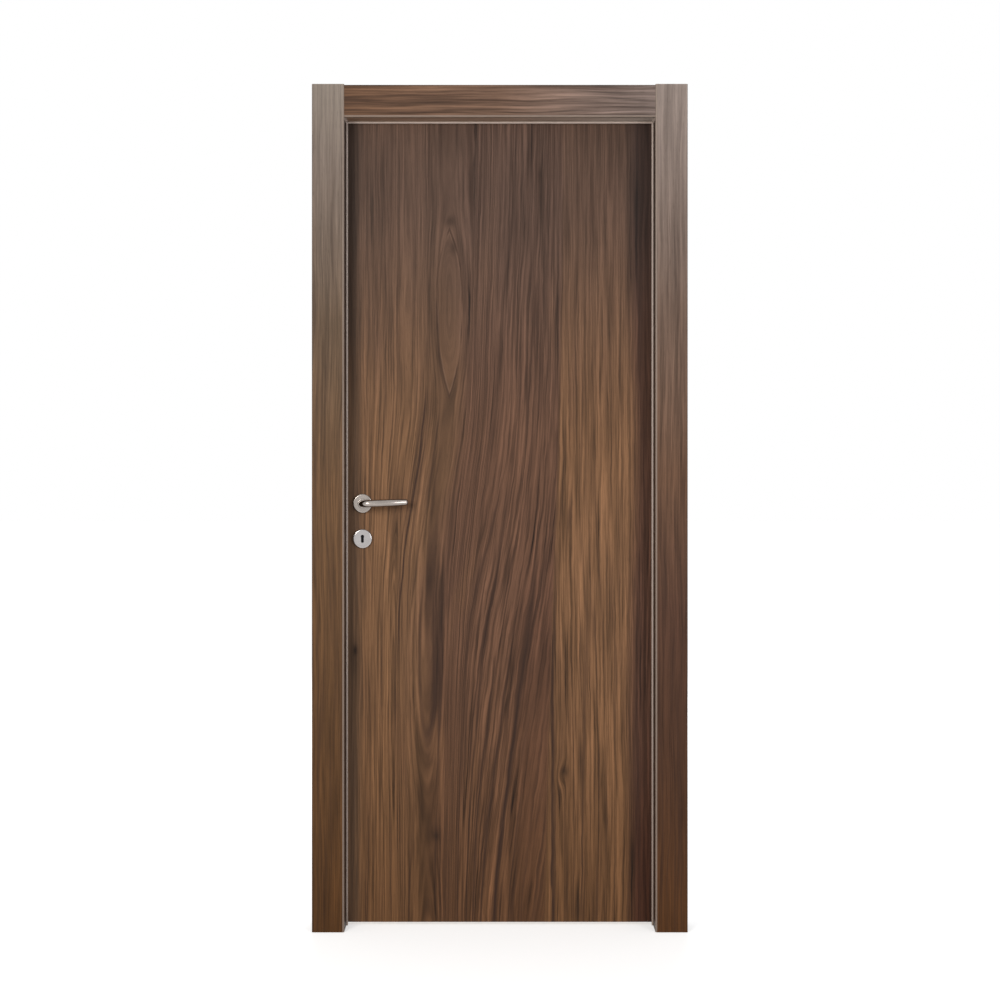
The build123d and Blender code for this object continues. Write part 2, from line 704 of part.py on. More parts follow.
with BuildPart() as front_lever:
    with BuildLine(lever_plan):
        neck = Line((0, lever_foot_gap), (0, lever_standoff - lever_bend_radius))
        bend = JernArc(neck @ 1, neck % 1, lever_bend_radius, -90)
        grip = JernArc(bend @ 1, bend % 1, lever_grip_radius, -grip_sweep)
    with BuildSketch(Plane(neck ^ 0)) as foot_section:
        Circle(lever_diameter / 2)
    extrude(foot_section.sketch, amount=neck.length)
    with BuildSketch(Plane(bend ^ 0)) as neck_section:
        Circle(lever_diameter / 2)
    with BuildSketch(Plane(bend ^ 1)) as bend_section:
        Circle(lever_grip_diameter / 2)
    with BuildSketch(Plane(grip ^ 1)) as tip_section:
        Circle(lever_tip_diameter / 2)
    sweep(
        sections=[neck_section.sketch, bend_section.sketch, tip_section.sketch],
        path=Wire([bend, grip]),
        multisection=True,
    )
    fillet(front_lever.edges().sort_by(Axis.X)[-1], lever_tip_radius)
    with Locations((handle_x, leaf_front_y, handle_height)):
        Box(
            spindle_width,
            spindle_insert,
            spindle_width,
            align=(Align.CENTER, Align.MAX, Align.CENTER),
            mode=Mode.SUBTRACT,
        )
front_lever.part.label = "front_lever"
export_step(front_lever.part, "parts/front_lever.step")

with BuildPart() as back_lever:
    mirror(front_lever.part, about=leaf_mirror)
back_lever.part.label = "back_lever"
export_step(back_lever.part, "parts/back_lever.step")

with BuildPart() as spindle:
    with Locations((handle_x, leaf_middle_y, handle_height)):
        Box(spindle_width, leaf_thickness + 2 * spindle_insert, spindle_width)
spindle.part.label = "spindle"
export_step(spindle.part, "parts/spindle.step")
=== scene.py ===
import math
import random

import bmesh
import bpy
from mathutils import Matrix, Vector


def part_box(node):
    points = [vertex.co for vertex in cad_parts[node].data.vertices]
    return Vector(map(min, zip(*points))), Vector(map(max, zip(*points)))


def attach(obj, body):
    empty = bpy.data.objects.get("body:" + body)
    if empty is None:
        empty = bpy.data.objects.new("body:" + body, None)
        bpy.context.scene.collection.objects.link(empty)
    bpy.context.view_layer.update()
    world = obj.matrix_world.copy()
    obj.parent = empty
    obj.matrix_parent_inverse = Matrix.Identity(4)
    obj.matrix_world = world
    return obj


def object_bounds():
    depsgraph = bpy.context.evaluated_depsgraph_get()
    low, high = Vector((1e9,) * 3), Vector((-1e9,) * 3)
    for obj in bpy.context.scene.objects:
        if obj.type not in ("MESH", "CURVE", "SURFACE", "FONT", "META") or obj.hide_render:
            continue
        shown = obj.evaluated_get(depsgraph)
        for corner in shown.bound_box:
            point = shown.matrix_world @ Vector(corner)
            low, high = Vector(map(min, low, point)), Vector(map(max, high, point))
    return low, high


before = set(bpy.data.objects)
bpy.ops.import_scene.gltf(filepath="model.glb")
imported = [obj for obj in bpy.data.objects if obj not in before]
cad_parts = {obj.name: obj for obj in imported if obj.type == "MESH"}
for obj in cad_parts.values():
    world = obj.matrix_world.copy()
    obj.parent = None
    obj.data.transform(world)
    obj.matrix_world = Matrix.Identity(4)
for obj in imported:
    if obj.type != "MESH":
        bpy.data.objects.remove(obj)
cad_low, cad_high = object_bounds()
scene = bpy.context.scene


# Places read from the frame, in metres
head_low, head_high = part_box("front_casing_head")
leg_low, leg_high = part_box("front_casing_hinge")
clear_left, clear_right = head_low.x, head_high.x
clear_top = head_low.z
clear_half = (clear_right - clear_left) / 2
middle_x = (clear_left + clear_right) / 2
casing_face = leg_low.y
across_door = (clear_left, clear_right)
whole_height = (0.0, leg_high.z)


def srgb(red, green, blue):
    """Linear colour of a value as a picture shows it, from 0 to 255."""

    def linear(value):
        share = value / 255
        return share / 12.92 if share <= 0.04045 else ((share + 0.055) / 1.055) ** 2.4

    return (linear(red), linear(green), linear(blue), 1.0)


# Numbers and colours in a shader tree
class Signal:
    """A number or colour in a shader tree, so that a formula reads as one."""

    def __init__(self, tree, socket):
        self.tree = tree
        self.socket = socket

    def math(self, operation, *others):
        node = self.tree.nodes.new("ShaderNodeMath")
        node.operation = operation
        for slot, value in zip(node.inputs, (self, *others)):
            connect(self.tree, value, slot)
        return Signal(self.tree, node.outputs[0])

    def __add__(self, other):
        return self.math("ADD", other)

    def __sub__(self, other):
        return self.math("SUBTRACT", other)

    def __mul__(self, other):
        return self.math("MULTIPLY", other)

    def __truediv__(self, other):
        return self.math("DIVIDE", other)

    # sum() starts from the number 0
    __radd__ = __add__

    def __neg__(self):
        return self * -1.0

    def squared(self):
        return self.math("MULTIPLY", self)

    def size(self):
        return self.math("ABSOLUTE")

    def exp(self):
        return self.math("EXPONENT")

    def power(self, exponent):
        return self.math("POWER", exponent)

    def greater(self, other):
        return self.math("MAXIMUM", other)

    def step(self, start, end):
        """Goes smoothly from 0 at start to 1 at end."""
        node = self.tree.nodes.new("ShaderNodeMapRange")
        node.interpolation_type = "SMOOTHSTEP"
        connect(self.tree, self, node.inputs["Value"])
        rising = start < end
        node.inputs["From Min"].default_value = min(start, end)
        node.inputs["From Max"].default_value = max(start, end)
        node.inputs["To Min"].default_value = 0.0 if rising else 1.0
        node.inputs["To Max"].default_value = 1.0 if rising else 0.0
        return Signal(self.tree, node.outputs["Result"])


def connect(tree, value, slot):
    if isinstance(value, Signal):
        tree.links.new(value.socket, slot)
    else:
        slot.default_value = value


def bump_at(value, centre, half):
    """A soft bump of height 1 at a value."""
    return (-((value - centre) / half).squared()).exp()


def spot(across, up, centre, size):
    """A soft bump of height 1 at a place, with a half-width and a half-height."""
    return bump_at(across, centre[0], size[0]) * bump_at(up, centre[1], size[1])


def spots(across, up, table):
    """Sum of the spots in a table of (place, size, strength)."""
    return sum(spot(across, up, centre, size) * strength for centre, size, strength in table)


def lines(across, up, table):
    """Sum of the lines in a table of (place, half-width, fades along them, strength)."""
    total = 0
    for place, half, fades, strength in table:
        line = bump_at(across, place, half)
        for start, end in fades:
            line = line * up.step(start, end)
        total = total + line * strength
    return total


def noise(tree, across, up, depth=0.0, detail=2.0, roughness=0.5):
    """Noise from 0 to 1. The places are in waves, and depth picks another pattern."""
    place = tree.nodes.new("ShaderNodeCombineXYZ")
    for value, slot in zip((across, depth, up), place.inputs):
        connect(tree, value, slot)
    node = tree.nodes.new("ShaderNodeTexNoise")
    tree.links.new(place.outputs[0], node.inputs["Vector"])
    node.inputs["Scale"].default_value = 1.0
    node.inputs["Detail"].default_value = detail
    node.inputs["Roughness"].default_value = roughness
    return Signal(tree, node.outputs["Fac"])


def sway(tree, across, up, depth, width):
    """A shift to either side, within a width in metres."""
    return (noise(tree, across, up, depth) - 0.5) * width


def speckle(tree, place, waves, detail=2.0, roughness=0.5):
    """Noise that is alike in all directions, with a number of waves in a metre."""
    x, y, z = (axis * waves for axis in place)
    return noise(tree, x, z, y, detail, roughness)


def mix(tree, share, first, second):
    node = tree.nodes.new("ShaderNodeMix")
    node.data_type = "RGBA"
    connect(tree, share, node.inputs["Factor"])
    connect(tree, first, node.inputs[6])
    connect(tree, second, node.inputs[7])
    return Signal(tree, node.outputs[2])


def scaled(tree, colour, factor):
    node = tree.nodes.new("ShaderNodeVectorMath")
    node.operation = "SCALE"
    connect(tree, colour, node.inputs[0])
    connect(tree, factor, node.inputs["Scale"])
    return Signal(tree, node.outputs[0])


def ramp(tree, value, stops):
    """Colour along a value from 0 to 1: stops are (place, colour)."""
    node = tree.nodes.new("ShaderNodeValToRGB")
    connect(tree, value, node.inputs[0])
    elements = node.color_ramp.elements
    while len(elements) < len(stops):
        elements.new(0.5)
    for element, (place, colour) in zip(elements, stops):
        element.position = place
        element.color = colour
    return Signal(tree, node.outputs[0])


def new_material(name):
    made = bpy.data.materials.new(name)
    made.use_nodes = True
    tree = made.node_tree
    shader = tree.nodes["Principled BSDF"]
    coordinates = tree.nodes.new("ShaderNodeTexCoord")
    parts = tree.nodes.new("ShaderNodeSeparateXYZ")
    tree.links.new(coordinates.outputs["Object"], parts.inputs[0])
    x, y, z = (Signal(tree, parts.outputs[i]) for i in range(3))
    return made, tree, shader, x, y, z


def surface(tree, shader, tone, rough):
    connect(tree, tone, shader.inputs["Base Color"])
    connect(tree, rough, shader.inputs["Roughness"])


def add_bump(tree, shader, height, strength, distance):
    node = tree.nodes.new("ShaderNodeBump")
    node.inputs["Strength"].default_value = strength
    node.inputs["Distance"].default_value = distance
    connect(tree, height, node.inputs["Height"])
    tree.links.new(node.outputs[0], shader.inputs["Normal"])


# Walnut colours
WARM = srgb(117, 85, 59)
BROWN = srgb(108, 79, 57)
PLUM = srgb(97, 69, 53)
GOLD = srgb(120, 87, 61)
PLUM_DARK = srgb(91, 60, 46)
# Painted shade on the leaf: greyer with a cool sheen at the head, browner at the foot
HEAD_SHADE_GREY = srgb(86, 67, 58)
FOOT_SHADE_BROWN = srgb(97, 65, 37)
STRIP_MIDDLE = srgb(88, 60, 47)
STRIP_HEAD = srgb(52, 40, 36)
STRIP_FOOT = srgb(64, 37, 25)
# Strip beside the latch edge: veneer tone with painted shade, darkest toward the head
LATCH_LOW = srgb(100, 78, 61)
LATCH_HIGH = srgb(51, 41, 35)
EYE_PALE = srgb(136, 108, 90)
LINE = srgb(54, 37, 29)
PORE = srgb(40, 28, 21)
# Pale tone of the painted highlight on round edges
EDGE_HIGHLIGHT = srgb(150, 135, 124)
JOINT_PALE = srgb(216, 202, 192)

# Streaks: waves in a metre across and along the grain, pattern, roughness, strength
STREAKS = (
    (30.0, 1.0, 0.0, 0.55, 0.8),
    (84.0, 2.0, 3.0, 0.55, 1.5),
    (185.0, 4.6, 5.0, 0.60, 2.7),
)

# Height of the eye, its distance from the left, its half-width and half-height, and the knot's height
EYE_UP = 1.62
EYE_ACROSS = 0.268
EYE_HALF_WIDTH = 0.031
EYE_HALF_HEIGHT = 0.235
KNOT_UP = 0.25

# Broad light and dark patches of the leaf: (place, size, strength)
PATCHES = (
    ((0.19, 1.02), (0.050, 0.24), 0.26),
    ((0.19, 0.36), (0.050, 0.09), -0.12),
    ((0.27, 0.59), (0.030, 0.10), -0.16),
    ((0.27, 2.06), (0.035, 0.10), -0.24),
    ((0.09, 1.97), (0.055, 0.16), -0.14),
    ((0.64, 2.07), (0.090, 0.09), -0.20),
    ((0.36, 0.18), (0.060, 0.26), 0.10),
    ((0.66, 0.56), (0.070, 0.18), 0.11),
    ((0.36, 1.38), (0.050, 0.12), -0.06),
    ((0.275, 1.37), (0.025, 0.09), -0.16),
    ((0.470, 1.88), (0.050, 0.12), -0.11),
    ((0.780, 1.34), (0.025, 0.12), -0.30),
)

# Single strong lines along the grain: (place, half-width, fades, strength)
STRONG_LINES = (
    (0.208, 0.0036, ((0.62, 0.80), (1.45, 1.32)), 1.00),
    (0.196, 0.0024, ((0.30, 0.60), (1.36, 1.20)), 0.50),
    (0.247, 0.0026, ((0.50, 0.80), (1.40, 1.25)), 0.50),
    (0.537, 0.0044, ((0.95, 0.70),), 0.95),
    (0.508, 0.0034, ((0.95, 0.60),), 0.80),
    (0.481, 0.0028, ((0.80, 0.50),), 0.75),
    (0.455, 0.0030, ((1.00, 0.80),), 0.70),
    (0.412, 0.0026, ((1.05, 0.75),), 0.50),
    (0.531, 0.0034, ((1.62, 1.85),), 0.50),
)

# Strong lines along the pointed arches above the knot
ARCH_LINES = (
    (0.036, 0.0028, ((0.22, 0.32), (0.95, 0.78)), 0.65),
    (0.022, 0.0022, ((0.22, 0.30), (0.70, 0.55)), 0.60),
)

# Soft dark marks at the knots and along the grain: (place, size, strength)
MARKS = (
    ((0.270, 1.836), (0.016, 0.018), 0.62),
    ((0.279, 1.768), (0.008, 0.020), 0.50),
    ((0.266, 1.11), (0.012, 0.090), 0.28),
    ((0.245, 0.87), (0.010, 0.080), 0.30),
    ((0.509, 1.88), (0.007, 0.100), 0.38),
    ((0.505, 1.958), (0.008, 0.026), 0.40),
    ((0.230, 0.238), (0.018, 0.024), 0.45),
    ((0.234, 0.232), (0.007, 0.010), 0.40),
    ((0.610, 0.44), (0.005, 0.080), 0.60),
    ((0.569, 0.400), (0.010, 0.014), 0.60),
    ((0.558, 0.345), (0.006, 0.020), 0.35),
    ((0.604, 0.040), (0.006, 0.050), 0.65),
    ((0.020, 0.70), (0.013, 0.055), 0.45),
    ((0.023, 0.717), (0.006, 0.014), 0.60),
)


# Walnut
def streaks(tree, field, up, seed):
    """Irregular light and dark streaks along the grain, about 0."""
    return sum(
        (noise(tree, field * across, up * along, seed + pattern, roughness=rough) - 0.5) * strength
        for across, along, pattern, rough, strength in STREAKS
    )


def veins(tree, field, up, seed):
    """Share of dark line where a slow noise crosses its middle, so lines join and part."""
    coarse = noise(tree, field * 34.0, up * 0.55, seed + 7.0, detail=1.0)
    wide_shown = noise(tree, field * 45.0, up * 1.3, seed + 9.0, detail=1.0).step(0.40, 0.60)
    wide = (coarse - 0.5).size().step(0.050, 0.008) * wide_shown
    close = noise(tree, field * 95.0, up * 1.1, seed + 11.0, detail=1.0)
    thin_shown = noise(tree, field * 70.0, up * 2.4, seed + 13.0, detail=1.0).step(0.44, 0.64)
    thin = (close - 0.5).size().step(0.070, 0.010) * thin_shown
    return wide.greater(thin * 0.80)


def pores(tree, across, up, seed):
    """Short dark dashes along the grain."""
    dashes = noise(tree, across * 820.0, up * 34.0, seed, detail=1.0, roughness=0.4)
    return dashes.step(0.56, 0.72)


def lacquer(tree, shader, tone, field, up, dashes, seed):
    """Satin finish over a wood colour, with open pores."""
    rough = noise(tree, field * 60.0, up * 4.0, seed) * 0.16 + 0.38
    surface(tree, shader, tone, rough)
    shader.inputs["Specular IOR Level"].default_value = 0.12
    add_bump(tree, shader, -dashes, strength=0.25, distance=0.0002)


def leaf_walnut():
    """Veneer of the leaf. Distances across are from the left of the doorway."""
    made, tree, shader, x, _, z = new_material("walnut_leaf")
    a = x - clear_left

    wave = sway(tree, a * 5.0, z * 1.3, 2.0, width=0.026)
    ripple = sway(tree, a * 34.0, z * 6.0, 5.0, width=0.0050)
    kinks = sway(tree, a * 40.0, z * 17.0, 6.0, width=0.0042)
    ripple = ripple + kinks

    # Two sheets of veneer meet at a seam, and the grain of the left one runs into it
    seam = a + z.step(1.9, -0.3) * 0.050 + wave * 0.20 + ripple
    left_sheet = seam.step(0.565, 0.560)

    # The grain leans left beside the handle and in the lower middle, and right at the head
    beside_handle = z.step(1.44, 0.70) * a.step(0.02, 0.17) * a.step(0.72, 0.26)
    lean_left = beside_handle * left_sheet * 0.085
    lean_low = z.step(1.10, -0.10) * a.step(0.22, 0.36) * left_sheet * 0.085
    lean_high = z.step(1.30, 2.10) * (a.step(0.30, 0.36) * a.step(0.60, 0.48)) * -0.022
    course = a + lean_left + lean_low + lean_high

    # It closes in ovals round an eye and in pointed arches above a knot
    axis = z.step(1.20, 0.70) * 0.028 + EYE_ACROSS
    from_axis = course + wave * 0.4 + ripple - axis
    eye_spread = (z - EYE_UP).size().step(0.0, 0.27) * 0.030
    knot_spread = z.step(0.66, KNOT_UP) * z.step(-0.40, KNOT_UP) * 0.018
    spread = eye_spread + knot_spread
    arch = (from_axis.squared() + spread.squared()).power(0.5)
    near = from_axis.size().step(0.120, 0.050)
    side = from_axis * 16.0
    small_knot = spot(a, z, (0.557, 0.39), (0.013, 0.035)) * 0.013
    plain = course + wave + ripple + small_knot
    field = arch * near + plain * (-near + 1.0)

    # Bands of colour, left to right
    to_brown = (course + wave).step(0.15, 0.29)
    to_plum = (course + wave * 0.8).step(0.27, 0.33)
    tone = mix(tree, to_brown, WARM, BROWN)
    tone = mix(tree, to_plum, tone, PLUM)
    beside_seam = seam.step(0.44, 0.52) * z.step(1.25, 0.60)
    tone = mix(tree, beside_seam * 0.50, tone, PLUM_DARK)
    tone = mix(tree, seam.step(0.558, 0.568), tone, GOLD)
    cloud = noise(tree, plain * 13.0, z * 1.5, 11.0, detail=3.0, roughness=0.55)
    tone = mix(tree, cloud.step(0.48, 0.28) * 0.45, tone, PLUM)
    tone = mix(tree, cloud.step(0.54, 0.74) * 0.45, tone, GOLD)

    # Painted shade with a cool sheen makes the leaf greyer and darker toward the head, and painted
    # shade makes it darker toward the foot
    tone = mix(tree, z.step(1.15, 1.96) * 0.85, tone, HEAD_SHADE_GREY)
    tone = mix(tree, z.step(0.95, -0.05) * 0.55, tone, FOOT_SHADE_BROWN)

    # A dark strip along the right edge
    right_edge = a - bump_at(z, 1.22, 0.30) * 0.016 + wave * 0.30 + ripple
    strip = mix(tree, z.step(1.30, 1.90) * 0.90, STRIP_MIDDLE, STRIP_HEAD)
    strip = mix(tree, z.step(0.60, 0.15) * 0.85, strip, STRIP_FOOT)
    tone = mix(tree, right_edge.step(0.718, 0.762), tone, strip)

    # A darker core below the eye, and broad light and dark patches
    core = bump_at(from_axis, 0.0, 0.022) * z.step(1.46, 1.30) * 0.16
    tone = scaled(tree, tone, -core + 1.0)
    tone = scaled(tree, tone, spots(a, z, PATCHES) + 1.0)

    # The grain is calm inside the eye and beside the seam
    drop = (z - EYE_UP) / (z.step(1.40, 1.80) * -0.045 + EYE_HALF_HEIGHT)
    oval = from_axis.size() / EYE_HALF_WIDTH + drop.squared() * (drop.size() * 0.4 + 0.6)
    in_eye = oval.step(1.02, 0.80)
    plum_share = to_plum * seam.step(0.570, 0.556)
    calm = seam.step(0.46, 0.52) * left_sheet * z.step(1.00, 0.60) * 0.50
    contrast = z.step(2.40, 0.60) * 0.30 + plum_share * 0.22 - calm + 0.56
    contrast = contrast * (in_eye * -0.60 + 1.0)
    tone = scaled(tree, tone, streaks(tree, field, z, side + 1.0) * contrast * 1.10 + 1.0)
    vein_depth = z.step(2.10, 0.50) * 0.24 + plum_share * 0.18 - calm * 0.6 + 0.32
    vein_share = veins(tree, field, z, side + 1.0) * vein_depth * (in_eye * -0.75 + 1.0)
    tone = mix(tree, vein_share, tone, LINE)
    dashes = pores(tree, a + wave, z, 4.0)
    tone = mix(tree, dashes * 0.22, tone, PORE)

    # The outline of the eye, pale inside and dark outside
    broken = noise(tree, a * 30.0, z * 9.0, 17.0, detail=1.0).step(0.34, 0.56)
    rim = oval.step(1.20, 1.09) * oval.step(0.98, 1.05) * broken
    inner = oval.step(1.03, 0.97) * oval.step(0.87, 0.93) * broken
    tone = mix(tree, rim * 0.62, tone, LINE)
    tone = mix(tree, inner * 0.20, tone, EYE_PALE)

    # Darker beside the latch edge: the veneer's own dark strip together with painted shade beside the
    # reveal, deepest toward the head
    latch_strip_and_shade = a.step(0.050, 0.014) * 0.70
    latch_tone = mix(tree, z.step(0.95, 1.60), LATCH_LOW, LATCH_HIGH)
    latch_tone = scaled(tree, latch_tone, streaks(tree, a, z, 29.0) * 0.5 + 1.0)
    tone = mix(tree, latch_strip_and_shade, tone, latch_tone)

    # Single strong lines, and soft dark marks
    fray = noise(tree, field * 260.0, z * 9.0, 13.0, detail=1.0).step(0.16, 0.50)
    waver = course + sway(tree, a * 3.0, z * 9.0, 8.0, width=0.010)
    strong = lines(waver, z, STRONG_LINES) + lines(arch, z, ARCH_LINES)
    tone = mix(tree, strong * fray, tone, LINE)
    tone = mix(tree, spots(a, z, MARKS), tone, PORE)

    lacquer(tree, shader, tone, field, z, dashes, 21.0)
    return made


def board_walnut(
    name, along, across, seed, stops, contrast, reach, rim=None, rim_tone=EDGE_HIGHLIGHT, behind=None
):
    """Walnut for a board whose grain runs along one axis.

    Its colour follows stops from one end of reach to the other; on the legs these hold painted sheen
    and shade, on the head board painted sheen, on the head jamb painted light and on the jambs
    painted shade. It is brown behind, and at the rim it takes a tone of its own: a painted highlight
    on the round edges of the casing boards, and a pale joint on the jambs.
    """
    made, tree, shader, x, y, z = new_material(name)
    axes = {"x": x, "y": y, "z": z}
    up, side = axes[along], axes[across]
    wave = sway(tree, side * 9.0, up * 2.2, seed, width=0.026)
    ripple = sway(tree, side * 40.0, up * 6.0, seed + 1.0, width=0.005)
    field = side + y * 0.7 + wave + ripple
    tone = ramp(tree, (up - reach[0]) / (reach[1] - reach[0]), stops)
    if behind:
        tone = mix(tree, behind(x, y, z), tone, BROWN)
    cloud = noise(tree, field * 26.0, up * 1.6, seed + 2.0, detail=3.0, roughness=0.55) - 0.5
    if along == "z":
        # Upright boards are calmer at the head
        half = 0.50 * contrast
        contrast = z.step(2.15, 1.45) * half + half
    light = cloud * 0.7 + streaks(tree, field, up, seed) * 0.9
    tone = scaled(tree, tone, light * contrast + 1.0)
    tone = mix(tree, veins(tree, field, up, seed) * 0.55 * contrast, tone, LINE)
    dashes = pores(tree, side + y, up, seed + 4.0)
    tone = mix(tree, dashes * 0.20, tone, PORE)
    if rim:
        tone = mix(tree, rim(x, y, z) * 0.75, tone, rim_tone)
    lacquer(tree, shader, tone, field, up, dashes, seed + 5.0)
    return made


# Painted highlights on round edges, and pale joints: where each begins and where it is full, in
# metres
HIGHLIGHT_SPAN = (0.0052, 0.0034)
EDGE_FRONT = (-0.052, -0.054)
JOINT_FRONT = (0.004, 0.002)
JOINT_REACH = (0.004, 0.002)
JAMB_JOINT = (-0.0062, -0.0050)
HEAD_JOINT = (-0.0052, -0.0040)
SOFFIT_BACK = (0.006, 0.012)
SOFFIT_TOP = (0.004, 0.008)


def past_side(x):
    """Distance outwards from the sides of the doorway."""
    return (x - middle_x).size() - clear_half


def past_top(z, span):
    """Goes from 0 to 1 over a span above the top of the doorway."""
    return z.step(clear_top + span[0], clear_top + span[1])


def leg_edge_highlight(x, y, z):
    """A painted highlight along the round edge of a leg board beside the doorway."""
    return past_side(x).step(*HIGHLIGHT_SPAN) * y.step(*EDGE_FRONT)


def head_edge_highlight(x, y, z):
    """A painted highlight along the round edge of the head board over the doorway."""
    return (z - clear_top).step(*HIGHLIGHT_SPAN) * y.step(*EDGE_FRONT)


def corner_leg(x, y, z):
    """The pale joint where a jamb meets the head."""
    near_doorway = past_side(x).step(*JOINT_REACH)
    return past_top(z, JAMB_JOINT) * y.step(*JOINT_FRONT) * near_doorway


def corner_head(x, y, z):
    """The pale joint where the head meets a jamb."""
    near_doorway = past_top(z, JOINT_REACH)
    return past_side(x).step(*HEAD_JOINT) * y.step(*JOINT_FRONT) * near_doorway


def past_soffit(x, y, z):
    """The faces of the head jamb other than the one over the doorway."""
    return y.step(*SOFFIT_BACK).greater(past_top(z, SOFFIT_TOP))


# Other materials
def satin_metal(name, colour, dark, roughness):
    made, tree, shader, *place = new_material(name)
    smear = speckle(tree, place, 40.0, detail=3.0, roughness=0.55)
    tone = mix(tree, smear.step(0.35, 0.75) * 0.35, colour, dark)
    rough = speckle(tree, place, 160.0, roughness=0.6) * 0.12 + (roughness - 0.06)
    surface(tree, shader, tone, rough)
    shader.inputs["Metallic"].default_value = 1.0
    fine = speckle(tree, place, 1500.0, detail=1.0)
    add_bump(tree, shader, fine, strength=0.02, distance=0.0001)
    return made


def plain_wood(name, colour, dark):
    made, tree, shader, x, y, z = new_material(name)
    grain = noise(tree, (x + y) * 120.0, z * 3.0, 1.0, detail=3.0, roughness=0.6)
    tone = mix(tree, grain.step(0.40, 0.70), colour, dark)
    surface(tree, shader, tone, speckle(tree, (x, y, z), 50.0) * 0.2 + 0.55)
    add_bump(tree, shader, grain, strength=0.2, distance=0.0003)
    return made


def seal_rubber(name, colour, dark, low_tone):
    made, tree, shader, x, y, z = new_material(name)
    specks = speckle(tree, (x, y, z), 300.0)
    tone = mix(tree, specks.step(0.40, 0.70), colour, dark)
    tone = mix(tree, z.step(1.40, 0.0) * 0.40, tone, low_tone)
    surface(tree, shader, tone, speckle(tree, (x, y, z), 90.0) * 0.2 + 0.5)
    shader.inputs["Specular IOR Level"].default_value = 0.2
    add_bump(tree, shader, specks, strength=0.03, distance=0.0001)
    return made


def dress(material, *names):
    for name in names:
        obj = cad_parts[name]
        obj.data.materials.clear()
        obj.data.materials.append(material)


# Colours of the boards, from the foot to the head or from left to right. Painted light is in them: on
# the legs a painted cool sheen toward the head and painted shade toward the foot.
latch_leg_sheen_shade_stops = [
    (0.00, srgb(82, 53, 27)),
    (0.30, srgb(91, 64, 40)),
    (0.52, srgb(104, 76, 51)),
    (0.72, srgb(99, 80, 63)),
    (0.90, srgb(125, 111, 101)),
    (1.00, srgb(138, 127, 117)),
]
hinge_leg_sheen_shade_stops = [
    (0.00, srgb(84, 53, 28)),
    (0.18, srgb(75, 49, 33)),
    (0.38, srgb(82, 56, 43)),
    (0.54, srgb(105, 77, 59)),
    (0.74, srgb(110, 90, 78)),
    (1.00, srgb(150, 136, 128)),
]
# Head board: lighter and cooler toward the right as a painted sheen
head_sheen_stops = [(0.00, srgb(106, 77, 57)), (0.50, srgb(112, 87, 72)), (1.00, srgb(131, 115, 108))]
# Underside of the head jamb: paler than the wood, most toward the right, as painted light
soffit_lit_stops = [
    (0.00, srgb(148, 118, 97)),
    (0.50, srgb(156, 130, 112)),
    (1.00, srgb(190, 176, 165)),
]
# Jamb reveals: dark as painted shade in the recess
reveal_shade_stops = [(0.00, srgb(58, 42, 30)), (0.50, srgb(66, 49, 36)), (1.00, srgb(60, 48, 41))]
edge_stops = [(0.00, srgb(92, 64, 44)), (0.50, srgb(112, 83, 62)), (1.00, srgb(92, 73, 62))]


def upright(name, across, seed, stops, contrast, *rest):
    return board_walnut(name, "z", across, seed, stops, contrast, whole_height, *rest)


def level(name, across, seed, stops, contrast, *rest):
    return board_walnut(name, "x", across, seed, stops, contrast, across_door, *rest)


latch_leg = upright("walnut_latch_leg", "x", 31.0, latch_leg_sheen_shade_stops, 0.75, leg_edge_highlight)
hinge_leg = upright("walnut_hinge_leg", "x", 37.0, hinge_leg_sheen_shade_stops, 0.75, leg_edge_highlight)
head_board = level("walnut_head", "z", 47.0, head_sheen_stops, 1.10, head_edge_highlight)
reveal = upright("walnut_reveal", "x", 53.0, reveal_shade_stops, 0.70, corner_leg, JOINT_PALE)
soffit = level(
    "walnut_soffit", "z", 59.0, soffit_lit_stops, 0.60, corner_head, JOINT_PALE, past_soffit
)
leaf_band = upright("walnut_leaf_band", "y", 61.0, edge_stops, 0.80)
leaf_cap = level("walnut_leaf_cap", "y", 67.0, edge_stops, 0.80)
nickel = satin_metal(
    "satin_nickel", colour=srgb(160, 152, 146), dark=srgb(132, 124, 118), roughness=0.18
)
# A lighter copy of the nickel for the key plates: painted light, brighter than the same metal on the
# rose
lit_nickel = satin_metal(
    "lit_nickel", colour=srgb(178, 174, 173), dark=srgb(160, 155, 152), roughness=0.16
)
# Steel darkened as painted shade, so the lock case looks black through the keyhole and the screw
# crosses look like recesses
lock_steel = satin_metal(
    "lock_steel", colour=srgb(60, 60, 62), dark=srgb(42, 42, 44), roughness=0.45
)
softwood = plain_wood("softwood", colour=srgb(196, 164, 126), dark=srgb(168, 134, 98))
rubber = seal_rubber(
    "seal_rubber",
    colour=srgb(201, 185, 175),
    dark=srgb(194, 178, 167),
    low_tone=srgb(160, 138, 124),
)

dress(leaf_walnut(), "leaf_front_skin", "leaf_back_skin")
dress(latch_leg, "front_casing_latch", "back_casing_latch")
dress(hinge_leg, "front_casing_hinge", "back_casing_hinge")
dress(head_board, "front_casing_head", "back_casing_head")
dress(reveal, "hinge_jamb", "latch_jamb")
dress(soffit, "head_jamb")
dress(leaf_band, "leaf_latch_edge", "leaf_hinge_edge")
dress(leaf_cap, "leaf_top_edge")
dress(softwood, "leaf_latch_stile", "leaf_hinge_stile", "leaf_lock_block")
dress(softwood, "leaf_bottom_rail", "leaf_top_rail")
dress(rubber, "hinge_side_seal", "latch_side_seal", "head_seal")
dress(nickel, "front_lever", "back_lever", "front_rose", "back_rose")
dress(nickel, "upper_hinge_frame", "middle_hinge_frame", "lower_hinge_frame")
dress(nickel, "upper_hinge_leaf", "middle_hinge_leaf", "lower_hinge_leaf")
dress(nickel, "strike_plate", "lock_faceplate", "latch_bolt", "dead_bolt")
dress(lit_nickel, "front_key_plate", "back_key_plate")
